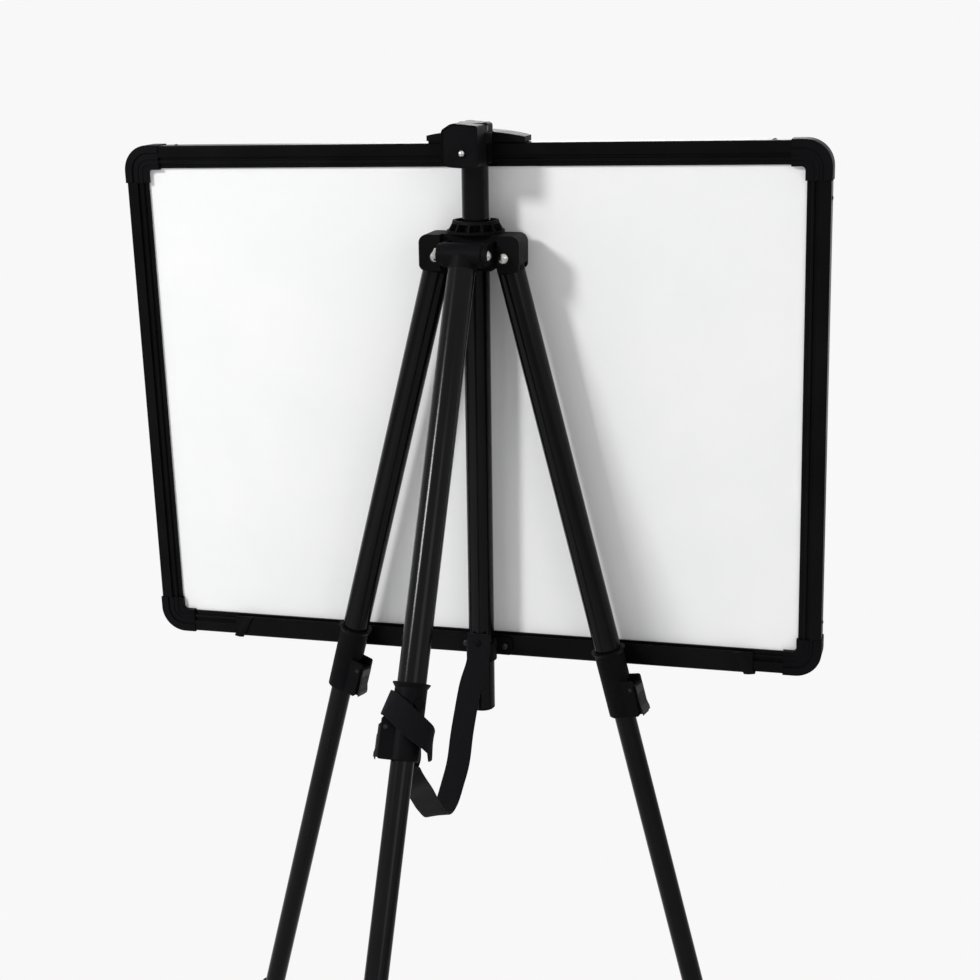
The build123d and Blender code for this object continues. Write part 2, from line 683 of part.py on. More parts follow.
def lock_body(outer_diameter, inner_diameter, joint):
    """A sleeve over the end of one tube with the lever's ears on +X. The outer tube ends at joint."""
    outer = outer_diameter / 2 + lock_wall
    top = joint - lock_above
    bottom = joint + lock_below
    pin_x, pin_s = lock_pin(inner_diameter, joint)
    block_top = bottom - lock_block_height
    flange = outer + lock_flange
    section = Polygon((0, -bottom), (outer - 0.8, -bottom), (outer, -bottom + 0.8), (outer, -top - lock_flange_height),
        (flange, -top - 1), (flange, -top), (0, -top), align=None)
    body = revolve(Plane.XZ * section, Axis.Z)
    block = slab(0, pin_x + lock_ear_reach, -lock_block_half_width, lock_block_half_width, -bottom, -block_top)
    rim = block.edges().filter_by(Axis.Y).group_by(Axis.X)[-1]
    body += fillet(rim, 2.0)
    slot = lever_half_width + lever_gap
    slot_floor = outer + 0.2
    body -= slab(slot_floor, pin_x + lock_ear_reach + 1, -slot, slot, -bottom - 1, -block_top + 1)
    window_end = pin_s + lever_nose + 2
    body -= slab(0, slot_floor + 1, -slot, slot, -window_end, -block_top - 0.5)
    turn = math.radians(120)
    way = (math.cos(turn), math.sin(turn), 0)
    boss_z = -top - boss_down
    boss_end = outer + boss_height
    body += cylinder_between((0, 0, boss_z), (way[0] * boss_end, way[1] * boss_end, boss_z), boss_radius)
    body -= cylinder_between((0, 0, -joint), (0, 0, -top + 1), outer_diameter / 2 + bolt_gap)
    body -= cylinder_between((0, 0, -bottom - 1), (0, 0, -joint + 1), inner_diameter / 2 + slide_gap)
    side = lock_block_half_width + 1
    pin_room = lever_pin_radius + slide_gap
    return body - cylinder_between((pin_x, -side, -pin_s), (pin_x, side, -pin_s), pin_room)


def lock_lever(inner_diameter, joint):
    """The closed lever: a nose against the inner tube, a head on its pin and a plate down the leg."""
    pin_x, pin_s = lock_pin(inner_diameter, joint)
    bottom = joint + lock_below
    length = bottom - pin_s - 1
    reach = lever_reach
    plate = Polygon((reach - lever_plate, 0), (reach - lever_plate, -length), (reach + lever_lip, -length),
        (reach + lever_lip, -length + 3), (reach, -length + 8), (reach, 1.5), (reach - 1.5, 3), (0, lever_head_radius - 0.2),
        (0, 0.2 - lever_head_radius), align=None)
    nose = Polygon((0, lever_head_radius - 0.1), (-lever_nose + 0.6, 1.3), (-lever_nose, 0.6), (-lever_nose, -0.6),
        (-lever_nose + 0.6, -1.3), (0, -lever_head_radius + 0.1), align=None)
    shape = plate + nose + Circle(lever_head_radius)
    lever = extrude(Plane.XZ * shape, lever_half_width, both=True)
    side = lock_block_half_width - 0.3
    lever += cylinder_between((0, -side, 0), (0, side, 0), lever_pin_radius)
    return Pos(pin_x, 0, -pin_s) * lever


def bush(outer_diameter, inner_diameter, start):
    """A plastic ring on the top of a sliding tube that runs inside the next one."""
    radius = outer_diameter / 2 - tube_wall - slide_gap
    ring = cylinder_between((0, 0, -start - bush_length), (0, 0, -start), radius)
    return ring - cylinder_between((0, 0, -start - bush_length - 1), (0, 0, -start + 1), inner_diameter / 2)


def foot():
    """A rubber cup on the end of the lower tube with a round sole."""
    centre = foot_centre()
    top = centre + foot_radius - foot_length
    bore = lower_diameter / 2 + bolt_gap
    side = [Line((bore, -top), (foot_top_radius, -top)), Line((foot_top_radius, -top), (foot_radius, -centre)),
        ThreePointArc((foot_radius, -centre), (foot_radius * math.sin(math.pi / 4), -centre - foot_radius * math.cos(math.pi / 4)),
            (0, -centre - foot_radius)),
        Line((0, -centre - foot_radius), (0, -lower_end)), Line((0, -lower_end), (bore, -lower_end)),
        Line((bore, -lower_end), (bore, -top))]
    sole = revolve(Plane.XZ * make_face(Curve() + side), Axis.Z)
    for count in range(3):
        z = -top - 8 - 6 * count
        share = (-top - z) / (centre - top)
        radius = foot_top_radius + (foot_radius - foot_top_radius) * share
        ring = Polygon((radius - foot_groove, z), (radius + 1, z + 1), (radius + 1, z - 1), align=None)
        sole -= revolve(Plane.XZ * ring, Axis.Z)
    return sole


def foot_centre():
    """The centre of the foot's round sole, down the leg."""
    return lower_end + 2.0


def leg_pieces(head):
    return {
        "head": head,
        "upper_tube": tube(upper_diameter, head_neck, upper_end),
        "upper_lock": lock_body(upper_diameter, middle_diameter, upper_end),
        "upper_lever": lock_lever(middle_diameter, upper_end),
        "middle_tube": tube(middle_diameter, middle_start, middle_end),
        "middle_bush": bush(upper_diameter, middle_diameter, middle_start),
        "lower_lock": lock_body(middle_diameter, lower_diameter, middle_end),
        "lower_lever": lock_lever(lower_diameter, middle_end),
        "lower_tube": tube(lower_diameter, lower_start, lower_end),
        "lower_bush": bush(middle_diameter, lower_diameter, lower_start),
        "foot": foot(),
    }


# Where each leg stands, and how far its locks are turned about its own axis
leg_places = {
    "left": (Location((leg_pivot_side, leg_plane, 0), (0, -front_spread, 0)), 165.0),
    "right": (Location((-leg_pivot_side, leg_plane, 0), (0, front_spread, 0)), 165.0),
    "rear": (Location((0, rear_pivot_back, rear_pivot_up), (rear_spread, 0, 0)), 20.0),
}


def build_legs():
    for side, (place, turn) in leg_places.items():
        head = rear_head() if side == "rear" else front_head()
        for name, shape in leg_pieces(head).items():
            turned = shape if name == "head" else Rot(0, 0, turn) * shape
            nodes[f"{side}_leg_{name}"] = place * turned


# Strap


def strap_route():
    """Points of the strap's middle line with the way its width points, in the mast frame."""
    rear_place = leg_places["rear"][0]
    seat = mast_radius + strap_lift + strap_thickness / 2
    hang = [
        (0.0, seat, -strap_hold + 8, 0), (0.0, seat, -strap_hold - 8, 0), (2.0, seat + 3, -353, 4),
        (5.0, 24.0, -368, 7), (7.5, 36.0, -386, 8), (8.0, 48.0, -404, 8), (7.0, 62.0, -420, 6),
        (5.0, 80.0, -434, 2), (3.0, 101.0, -444, -4), (1.0, 123.0, -446, -14), (-1.5, 145.0, -439, -30),
        (-4.0, 163.0, -424, -52), (-6.0, 178.0, -406, -78), (-7.5, 192.0, -389, -104), (-8.0, 203.5, -372, -130)]
    wrap = [(-100, 18.6, 396), (-84, 17.2, 383), (-64, 16.5, 371), (-42, 16.2, 361.5), (-18, 16.1, 356.5),
        (8, 16.2, 354.5), (36, 16.6, 354.5), (62, 17.2, 356.5), (88, 17.8, 361), (112, 18.4, 366), (135, 20.2, 370.5),
        (156, 22.4, 375), (174, 23.2, 379), (190, 21.4, 382.5), (206, 18.6, 386)]
    route = []
    for u, v, w, turn in hang:
        turn = math.radians(turn)
        route.append((Vector(u, v, w), Vector(math.cos(turn), -math.sin(turn), 0)))
    up = -leg_direction("rear")
    for angle, radius, down in wrap:
        turn = math.radians(angle)
        out = Vector(math.cos(turn), math.sin(turn), 0)
        middle = (rear_place * Pos(out.X * radius, out.Y * radius, -down)).position
        around = (rear_place * Pos(-out.Y, out.X, 0)).position - rear_place.position
        route.append((middle, up - around * strap_slant(angle)))
    return route


def strap_slant(angle):
    """How far the width leans from the leg's direction: most where the strap still climbs the leg."""
    return 1.6 if angle < -90 else max(0.0, 0.9 - (angle + 90) / 60)


def leg_direction(side):
    """The way down a leg, in the mast frame."""
    place = leg_places[side][0]
    return (place * Pos(0, 0, -1)).position - place.position


def build_strap():
    """Flat webbing from the mast's lower end, hanging in a bight and wound once round the rear lock."""
    route = strap_route()
    sections = []
    last = len(route) - 1
    for index, (point, way) in enumerate(route):
        ahead = route[min(index + 1, last)][0] - route[max(index - 1, 0)][0]
        way = (way - ahead.normalized() * way.dot(ahead.normalized())).normalized()
        plane = Plane(origin=point, x_dir=way, z_dir=ahead)
        sections.append(plane * Rectangle(strap_width, strap_thickness))
    spans = [loft([start, end], ruled=True) for start, end in zip(sections, sections[1:])]
    strap = spans[0].fuse(*spans[1:])
    seat = mast_radius + strap_lift
    face = seat + strap_thickness
    strap -= cylinder_between((0, seat - 1, -strap_hold), (0, face + 1, -strap_hold), rivet_radius + fit_gap)
    nodes["tie_strap"] = strap
    head = domed_head((0, face, -strap_hold), (0, 1, 0), rivet_head_radius, rivet_head_height)
    tail = cylinder_between((0, mast_radius - mast_wall - 1.5, -strap_hold), (0, face, -strap_hold), rivet_radius)
    nodes["strap_rivet"] = head + tail


# The stand leans back until the three soles are level


def mast_point(side):
    """The centre of a foot's sole in the mast frame."""
    return (leg_places[side][0] * Pos(0, 0, -foot_centre())).position


def lean_angle():
    front = mast_point("left")
    rear = mast_point("rear")
    return math.degrees(math.atan2(rear.Z - front.Z, rear.Y - front.Y))


def stand_place():
    """From the mast frame to the finished part: leaned, on the floor, and centred on its box."""
    lean = Location((0, 0, 0), (-lean_angle(), 0, 0))
    floor = (lean * Pos(mast_point("rear"))).position.Z - foot_radius + foot_flat
    return Location((0, 0, -floor)) * lean


def main():
    os.makedirs("parts", exist_ok=True)
    build_board()
    build_mast()
    build_bracket()
    build_clamp()
    build_hub()
    build_mast_collar()
    build_legs()
    build_strap()
    place = stand_place()
    below = slab(-1000, 1000, -1000, 1000, -50, 0)
    for name in nodes:
        nodes[name] = place * nodes[name]
        if name.endswith("_foot"):
            nodes[name] -= below
    box = Compound(list(nodes.values())).bounding_box()
    centre = Location((-(box.min.X + box.max.X) / 2, -(box.min.Y + box.max.Y) / 2, 0))
    for name, shape in nodes.items():
        nodes[name] = centre * shape
        export_step(nodes[name], f"parts/{name}.step")
    print(f"lean {lean_angle():.3f} degrees, centre offset {centre.position.X:.4f} {centre.position.Y:.4f}")
    print(f"size {box.size.X:.2f} x {box.size.Y:.2f} x {box.max.Z:.2f} mm, {len(nodes)} nodes")


main()
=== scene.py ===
import bmesh
import bpy
import json
import math
import numpy as np
from mathutils import Euler, Matrix, Vector


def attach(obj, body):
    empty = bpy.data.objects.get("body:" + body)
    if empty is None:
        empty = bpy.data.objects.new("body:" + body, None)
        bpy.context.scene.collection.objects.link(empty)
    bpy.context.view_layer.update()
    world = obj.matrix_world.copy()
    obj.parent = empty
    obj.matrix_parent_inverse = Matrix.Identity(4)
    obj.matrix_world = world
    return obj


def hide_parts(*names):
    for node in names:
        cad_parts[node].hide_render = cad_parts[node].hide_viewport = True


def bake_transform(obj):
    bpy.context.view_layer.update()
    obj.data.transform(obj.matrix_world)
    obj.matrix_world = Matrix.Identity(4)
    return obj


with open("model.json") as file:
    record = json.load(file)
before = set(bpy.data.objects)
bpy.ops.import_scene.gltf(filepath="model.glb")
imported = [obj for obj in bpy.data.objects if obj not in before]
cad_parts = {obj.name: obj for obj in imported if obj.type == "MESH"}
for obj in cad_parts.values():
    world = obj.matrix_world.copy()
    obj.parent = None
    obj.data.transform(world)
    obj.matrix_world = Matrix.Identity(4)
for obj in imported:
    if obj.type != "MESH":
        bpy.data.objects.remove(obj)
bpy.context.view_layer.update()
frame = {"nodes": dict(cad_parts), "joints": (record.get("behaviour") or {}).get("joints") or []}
nodes = frame["nodes"]
joints = {joint["name"]: joint for joint in frame["joints"]}
print("frame loaded:", len(nodes), "nodes")


# every local space is in millimetres, and toRow ends in the row frame in metres

def spaceAt(location, axis="X", degrees=0.0):
    space = np.eye(4)
    space[:3, :3] = np.array(Matrix.Rotation(math.radians(degrees), 3, axis))
    space[:3, 3] = location
    return space


def toRow(points, space):
    return (np.asarray(points, float) @ space[:3, :3].T + space[:3, 3]) / 1000


stand = dict(
    pivotSide=28.6, pivotBack=7.0,    # front leg pivots, from the mast's axis
    rearPivot=(0.0, 36.0, 4.0),
    frontSpread=14.4, rearSpread=26.8,
    frontLockTurn=165.0, rearLockTurn=20.0,    # which way the levers face, about their leg
    frameRear=-15.0,    # rear plane of the board's frame
    boardCentre=(14.6, -132.3), boardRoll=1.06, boardHeight=440.0,
    frameDepth=17.0, panel=7.2, sheet=0.4,
)
# the mast leans back: the front legs' pivot axis gives the lean, their middle the mast's place
pivotAxis = joints["left_leg_fold"]["axis"]
lean = math.degrees(math.atan2(-pivotAxis[2], pivotAxis[1]))
leftPivot, rightPivot = (np.array(joints[name]["pos_m"]) for name in ("left_leg_fold", "right_leg_fold"))
pivotMiddle = (leftPivot + rightPivot) * 500    # half the sum, in millimetres
mastSpace = spaceAt((0, 0, 0), "X", -lean)
mastSpace[:3, 3] = pivotMiddle - mastSpace[:3, :3] @ np.array([0, stand["pivotBack"], 0])
boardSide, boardUp = stand["boardCentre"]
boardSpace = mastSpace @ spaceAt((boardSide, stand["frameRear"], boardUp), "Y", stand["boardRoll"])

# a leg's own space has its pivot at the origin and its tubes down -Z
legs = {}
for side, sign in (("left", 1), ("right", -1)):
    pivot = (sign * stand["pivotSide"], stand["pivotBack"], 0)
    space = mastSpace @ spaceAt(pivot, "Y", -sign * stand["frontSpread"])
    legs[side] = dict(space=space, lockTurn=stand["frontLockTurn"])
rearSpace = mastSpace @ spaceAt(stand["rearPivot"], "X", stand["rearSpread"])
legs["rear"] = dict(space=rearSpace, lockTurn=stand["rearLockTurn"])
# the inner tube's diameter at each lock, and how far down the leg the lock is
locks = dict(upper=dict(inner=18.0, joint=372.0), lower=dict(inner=14.0, joint=757.0))

mergeWithin = 1e-7    # metres, for points that are the same one
sharpFrom = math.radians(35)


def gridMesh(name, points, closeRows=False, closeColumns=False, uv=None, smooth=True):
    # quads over a grid of points; rows or columns can close on themselves
    rows, columns = points.shape[:2]
    index = np.arange(rows * columns).reshape(rows, columns)
    if closeRows:
        index = np.vstack([index, index[:1]])
    if closeColumns:
        index = np.hstack([index, index[:, :1]])
    corners = [index[:-1, :-1], index[:-1, 1:], index[1:, 1:], index[1:, :-1]]
    quads = np.stack(corners, axis=-1).reshape(-1, 4)
    mesh = bpy.data.meshes.new(name)
    mesh.from_pydata(points.reshape(-1, 3).tolist(), [], quads.tolist())
    if uv is not None:
        layer = mesh.uv_layers.new(name="UVMap")
        loopPoints = np.empty(len(mesh.loops), np.int32)
        mesh.loops.foreach_get("vertex_index", loopPoints)
        layer.data.foreach_set("uv", uv.reshape(-1, 2)[loopPoints].ravel().astype(np.float32))
    if smooth:
        mesh.shade_smooth()
    else:
        mesh.shade_flat()
    piece = bpy.data.objects.new(name, mesh)
    bpy.context.collection.objects.link(piece)
    return piece


def joinPieces(name, parts):
    first = dict(active_object=parts[0], object=parts[0])
    with bpy.context.temp_override(selected_objects=parts, selected_editable_objects=parts, **first):
        bpy.ops.object.join()
    parts[0].name = name
    return parts[0]


def mergeAndFaceOut(piece, shut=False):
    # doubles become one point, open rims are filled where asked, and faces turn outwards
    work = bmesh.new()
    work.from_mesh(piece.data)
    bmesh.ops.remove_doubles(work, verts=work.verts, dist=mergeWithin)
    if shut:
        bmesh.ops.holes_fill(work, edges=[edge for edge in work.edges if edge.is_boundary], sides=0)
    bmesh.ops.recalc_face_normals(work, faces=work.faces)
    work.to_mesh(piece.data)
    work.free()
    return piece


def closeEnds(points):
    # the first and last rings shrink to their own middle, so the tube is shut
    first = points[:1].mean(axis=1, keepdims=True) + 0 * points[:1]
    last = points[-1:].mean(axis=1, keepdims=True) + 0 * points[-1:]
    return np.concatenate([first, points, last])


def unit(vectors):
    return vectors / np.linalg.norm(vectors, axis=-1, keepdims=True)


def smoothThrough(points, each):
    # Catmull-Rom through the points, each span cut into equal steps
    points = np.asarray(points, float)
    padded = np.vstack([2 * points[0] - points[1], points, 2 * points[-1] - points[-2]])
    t = np.linspace(0, 1, each, endpoint=False)[None, :, None]
    a, b, c, d = (padded[i:len(padded) - 3 + i, None] for i in range(4))
    second, third = 2 * a - 5 * b + 4 * c - d, 3 * b - a - 3 * c + d
    curve = 0.5 * (2 * b + (c - a) * t + second * t ** 2 + third * t ** 3)
    return np.vstack([curve.reshape(-1, points.shape[1]), points[-1:]])


def hexLinear(text):
    # sRGB to linear light: a straight foot, and a power of 2.4 above it
    share = np.array([int(text[i:i + 2], 16) for i in (1, 3, 5)]) / 255
    return [*np.where(share <= 0.04045, share / 12.92, ((share + 0.055) / 1.055) ** 2.4), 1.0]


def addNode(tree, kind, settings=None, links=None):
    # a socket goes by its name, or by its number where several share one; the rest are node settings
    node = tree.nodes.new(kind)
    for key, value in (settings or {}).items():
        if isinstance(key, int) or key in node.inputs:
            node.inputs[key].default_value = value
        else:
            setattr(node, key, value)
    for key, source in (links or {}).items():
        tree.links.new(source, node.inputs[key])
    return node


colourA, colourB, colourOut = 6, 7, 2    # the Mix node's sockets for colours


def startMaterial(name, shader):
    material = bpy.data.materials.new(name)
    material.use_nodes = True
    tree = material.node_tree
    tree.nodes.clear()
    surface = addNode(tree, "ShaderNodeBsdfPrincipled", shader)
    output = addNode(tree, "ShaderNodeOutputMaterial", links={"Surface": surface.outputs["BSDF"]})
    coords = addNode(tree, "ShaderNodeTexCoord")
    return material, tree, surface, coords, output


def pattern(size, detail, stretch=(1, 1, 1), turn=(0, 0, 0)):
    # noise whose grain is size metres across, drawn out by stretch and turned with the piece
    return dict(scale=[1 / (size * drawn) for drawn in stretch], detail=detail, turn=turn)


noiseRoughness = 0.55
noiseSpan = {"From Min": 0.3, "From Max": 0.7}    # where nearly all of the noise's values lie
bevelSamples = 6

# each finish: cloud fades base into second by up to fade, the pattern named in shineFrom varies the
# roughness, bump is the strength and height of the grain, and edge is how far real edges are broken
# mould grain and die lines are really about 0.1 to 0.3 mm wide; they are drawn coarser, so they show
moulded = dict(cloud=pattern(0.03, 3.0), fade=0.7, shineFrom="cloud")
mottled = dict(cloud=pattern(0.004, 4.0), fade=1, shineFrom="cloud", edge=0.0002)
# black anodised aluminium: die lines run the length of the section and draw the shine out along it
anodised = dict(
    base="#060607", second="#0E0E10", cloud=pattern(0.05, 2.0), fade=0.8,
    roughness=(0.28, 0.38), shineFrom="grain", bump=(0.35, 0.00002), edge=0.00035,
    shader={"IOR": 1.5, "Specular IOR Level": 0.05},
)
upright = pattern(0.0007, 4.0, (1, 1, 22), (math.radians(lean), 0, 0))
lengthways = pattern(0.0007, 4.0, (22, 1, 1), (0, -math.radians(stand["boardRoll"]), 0))
finishes = dict(
    # ABS from a spark-eroded mould: a fine even grain spreads the light, and rubbed parts are paler
    hub=dict(
        moulded, name="mouldedAbsBlack", base="#08080A", second="#101012", roughness=(0.42, 0.56),
        grain=pattern(0.0006, 2.0), bump=(0.6, 0.00004), edge=0.0004,
        shader={"IOR": 1.46, "Specular IOR Level": 0.05},
    ),
    # ABS from a smoother mould, so the levers shine more than the sleeves
    lever=dict(
        moulded, name="smoothAbsBlack", base="#09090B", second="#121214", roughness=(0.26, 0.36),
        grain=pattern(0.0011, 2.0), bump=(0.6, 0.00002), edge=0.0003,
        shader={"IOR": 1.46, "Specular IOR Level": 0.3},
    ),
    # moulded rubber: dull, with a deeper grain, and greyer where it is worn
    rubber=dict(
        moulded, name="mouldedRubber", base="#0F0F0F", second="#1B1B1A", roughness=(0.66, 0.82),
        grain=pattern(0.0009, 2.0), bump=(0.6, 0.00007), edge=0.0006,
        shader={"IOR": 1.5, "Specular IOR Level": 0.05},
    ),
    sideRail=dict(anodised, name="anodisedUprightRail", grain=upright),
    crossRail=dict(anodised, name="anodisedCrossRail", grain=lengthways),
    # the drawn tubes are polished before they are anodised, which gives the long narrow highlights
    tubeUpright=dict(
        anodised, name="anodisedMastTube", base="#050506", second="#0B0B0D", roughness=(0.13, 0.2),
        grain=upright, shader={"IOR": 1.5, "Specular IOR Level": 0.12},
    ),
    # coil-coated steel: a smooth white enamel with a faint orange peel
    sheet=dict(
        name="enamelledSteelSheet", base="#F6F6F6", second="#EFF0F0", cloud=pattern(0.09, 3.0), fade=0.6,
        roughness=(0.3, 0.42), shineFrom="cloud", grain=pattern(0.0032, 2.0), bump=(0.25, 0.00003),
        shader={"IOR": 1.5, "Specular IOR Level": 0.35},
    ),
    # zinc-plated steel: bright, with a soft grey mottle
    steel=dict(mottled, name="brightZincedSteel", base="#C9C8C5", second="#A3A29F",
               roughness=(0.18, 0.32), shader={"Metallic": 1.0}),
    # blackened steel: dark, with paler patches where the black is thin
    screw=dict(mottled, name="blackenedSteelScrew", base="#1A1A1B", second="#3A3A3B",
               roughness=(0.3, 0.45), shader={"Metallic": 0.6}),
    # raw core board: pale and dull
    core=dict(mottled, name="coreBoard", base="#D9D8D2", second="#C9C7C0",
              roughness=(0.7, 0.85), shader={}),
    # screen-printed ink: a flat, even green
    ink=dict(mottled, name="printedLineInk", base="#1C6B45", second="#185C3B",
             roughness=(0.4, 0.5), shader={}),
)


def hardFinish(look):
    # colour, shine and relief each follow one of two noise patterns that have a real size
    material, tree, surface, coords, _ = startMaterial(look["name"], look["shader"])
    noise = {}
    for key in ("cloud", "grain"):
        if key in look:
            mapping = addNode(tree, "ShaderNodeMapping",
                              {"Scale": look[key]["scale"], "Rotation": look[key]["turn"]},
                              {"Vector": coords.outputs["Object"]})
            grains = addNode(tree, "ShaderNodeTexNoise",
                             {"Scale": 1.0, "Detail": look[key]["detail"], "Roughness": noiseRoughness},
                             {"Vector": mapping.outputs["Vector"]})
            noise[key] = grains.outputs["Fac"]
    fade = addNode(tree, "ShaderNodeMapRange", {**noiseSpan, "To Min": 0, "To Max": look["fade"]},
                   {"Value": noise["cloud"]})
    base, second = hexLinear(look["base"]), hexLinear(look["second"])
    colour = addNode(tree, "ShaderNodeMix", {"data_type": "RGBA", colourA: base, colourB: second},
                     {0: fade.outputs["Result"]})
    tree.links.new(colour.outputs[colourOut], surface.inputs["Base Color"])
    smoothest, roughest = look["roughness"]
    shine = addNode(tree, "ShaderNodeMapRange", {**noiseSpan, "To Min": smoothest, "To Max": roughest},
                    {"Value": noise[look["shineFrom"]]})
    tree.links.new(shine.outputs["Result"], surface.inputs["Roughness"])
    relief = {}
    if "edge" in look:
        edges = addNode(tree, "ShaderNodeBevel", {"samples": bevelSamples, "Radius": look["edge"]})
        relief = {"Normal": edges.outputs["Normal"]}
    if "bump" in look:
        strength, distance = look["bump"]
        bump = addNode(tree, "ShaderNodeBump", {"Strength": strength, "Distance": distance},
                       {"Height": noise["grain"], **relief})
        relief = {"Normal": bump.outputs["Normal"]}
    tree.links.new(relief["Normal"], surface.inputs["Normal"])
    return material


webbing = dict(
    # the second colour is a painted highlight laid on the weave's crests; the first is the black nylon
    name="nylonWebbing", base="#0B0B0D", rib="#18181B",
    cordSpacing=0.0016, pickSpacing=0.0011,    # about twice the real spacing, which is too fine to show
    fuzz=pattern(0.004, 3.0), bump=(0.8, 0.0002),
    shader={"Roughness": 0.78, "Sheen Weight": 0.03, "Sheen Roughness": 0.5, "Specular IOR Level": 0.04},
)


def wovenWebbing(look):
    # flat nylon webbing: cords run its length and fine picks cross them, so it looks ribbed and dull
    # the weave is the product of two sine waves; UV is in metres along and across
    material, tree, surface, coords, _ = startMaterial(look["name"], look["shader"])
    split = addNode(tree, "ShaderNodeSeparateXYZ", links={"Vector": coords.outputs["UV"]})
    waves = []
    for way, spacing in (("Y", look["cordSpacing"]), ("X", look["pickSpacing"])):
        scaled = addNode(tree, "ShaderNodeMath", {"operation": "MULTIPLY", 1: 2 * math.pi / spacing},
                         {0: split.outputs[way]})
        waves.append(addNode(tree, "ShaderNodeMath", {"operation": "SINE"}, {0: scaled.outputs[0]}))
    product = addNode(tree, "ShaderNodeMath", {"operation": "MULTIPLY"},
                      {0: waves[0].outputs[0], 1: waves[1].outputs[0]})
    weave = addNode(tree, "ShaderNodeMapRange", {"From Min": -1, "From Max": 1, "To Min": 0, "To Max": 1},
                    {"Value": product.outputs[0]})
    mapping = addNode(tree, "ShaderNodeMapping",
                      {"Scale": look["fuzz"]["scale"], "Rotation": look["fuzz"]["turn"]},
                      {"Vector": coords.outputs["Object"]})
    fuzz = addNode(tree, "ShaderNodeTexNoise",
                   {"Scale": 1.0, "Detail": look["fuzz"]["detail"], "Roughness": noiseRoughness},
                   {"Vector": mapping.outputs["Vector"]})
    height = addNode(tree, "ShaderNodeMath", {"operation": "ADD"},
                     {0: weave.outputs["Result"], 1: fuzz.outputs["Fac"]})
    base, rib = hexLinear(look["base"]), hexLinear(look["rib"])
    # the colour follows the weave's height: its crests are painted lighter, a painted highlight, and its
    # hollows keep the nylon's black
    colour = addNode(tree, "ShaderNodeMix", {"data_type": "RGBA", colourA: base, colourB: rib},
                     {0: weave.outputs["Result"]})
    tree.links.new(colour.outputs[colourOut], surface.inputs["Base Color"])
    strength, distance = look["bump"]
    bump = addNode(tree, "ShaderNodeBump", {"Strength": strength, "Distance": distance},
                   {"Height": height.outputs[0]})
    tree.links.new(bump.outputs["Normal"], surface.inputs["Normal"])
    return material


print("materials")
materials = {key: hardFinish(look) for key, look in finishes.items()}
materials["webbing"] = wovenWebbing(webbing)


def finishFor(node):
    if node in ("back_sheet", "front_sheet"):
        return "sheet"
    if node == "board_core":
        return "core"
    if node in ("frame_left", "frame_right"):
        return "sideRail"
    if node.startswith("frame_") or node == "pen_tray":
        return "crossRail"
    if node in ("pivot_bolts", "pivot_nuts", "clamp_screw"):
        return "steel"
    if node in ("bracket_screws", "corner_screws"):
        return "screw"
    if node.endswith("_tube"):
        return "tubeUpright"
    if node.endswith("_lever"):
        return "lever"
    if node.endswith("_foot"):
        return "rubber"
    if node == "tie_strap":
        return "webbing"
    return "hub"


def dress(piece, material):
    piece.data.materials.clear()
    piece.data.materials.append(material)


for nodeName, node in nodes.items():
    dress(node, materials[finishFor(nodeName)])


def addPiece(piece, body, finish, replaced=()):
    dress(piece, materials[finish])
    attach(piece, body)
    if replaced:
        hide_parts(*replaced)
    return piece


# tie strap: flat webbing from the mast's foot, hanging in a bight and wound round the rear lock

strap = dict(
    width=20.0, thickness=1.5, sides=28, squareness=0.22, step=8,
    # side, back and height in mast space, with the tilt of its width out of level
    hang=[(-1.0, 12.1, -325.5, 0.0), (-1.0, 12.1, -341.5, 0.0), (0.2, 14.6, -353.0, 0.0),
          (3.2, 24.0, -367.8, 0.0), (4.7, 35.0, -386.8, 0.0), (4.8, 48.0, -403.6, 0.0),
          (2.7, 66.0, -421.2, 0.0), (3.1, 80.0, -433.7, 2.0), (3.0, 101.0, -444.3, 6.0),
          (4.7, 119.0, -445.6, 14.0), (5.2, 140.0, -427.2, 24.0), (2.5, 165.0, -405.1, 30.0),
          (-0.5, 188.0, -386.2, 33.0), (1.0, 199.0, -371.5, 35.0), (1.6, 202.5, -363.5, 37.0)],
    # angle round the rear leg, radius and distance down the leg
    wrap=[(-87, 16, 396), (-78, 16.6, 382), (-60, 16.8, 371), (-40, 17.0, 363), (-18, 17.2, 358.5),
          (4, 17.4, 357.5), (26, 17.4, 357.5), (48, 17.4, 358.5), (70, 17.6, 361.5), (92, 17.9, 366),
          (114, 18.5, 371), (136, 20.2, 376), (156, 21.8, 380.5), (174, 22, 384.5), (190, 20.2, 387),
          (204, 17.8, 389)],
    # angles round the leg, with the slant of its width and how far its lower edge stands off there
    slant=([-95, -78, -40, -10], [1.6, 0.9, 0.2, 0]),
    flare=([-40, -15, 50, 90], [0, 0.3, 0.3, 0.05]),
    # slack webbing is a little cupped and wavers; each fade has its start or end and its length, in metres
    cup=0.0006, waver=0.0007, waverTurn=55, slackFrom=(0.03, 0.05), slackTo=(0.27, 0.06),
    blendBack=(13.0, 186.0), blendHeight=-400,
)


def strapPath():
    # the middle line, in metres in the row frame, and the way its width points
    hang = np.array(strap["hang"], float)
    tilt = np.radians(hang[:, 3])
    hangWays = np.stack([-np.cos(tilt), 0 * tilt, np.sin(tilt)], 1) @ mastSpace[:3, :3].T
    wrap = np.array(strap["wrap"], float)
    turn = np.radians(wrap[:, 0])
    space = legs["rear"]["space"]
    coil = np.stack([np.cos(turn) * wrap[:, 1], np.sin(turn) * wrap[:, 1], -wrap[:, 2]], 1)
    slant = np.interp(wrap[:, 0], *strap["slant"])
    flare = np.interp(wrap[:, 0], *strap["flare"])
    sideways = np.sin(turn) * slant - np.cos(turn) * flare
    backwards = -np.cos(turn) * slant - np.sin(turn) * flare
    wrapWays = np.stack([sideways, backwards, 1 + 0 * turn], 1) @ space[:3, :3].T
    middle = np.vstack([toRow(hang[:, :3], mastSpace), toRow(coil, space)])
    return middle, unit(np.vstack([hangWays, wrapWays]))


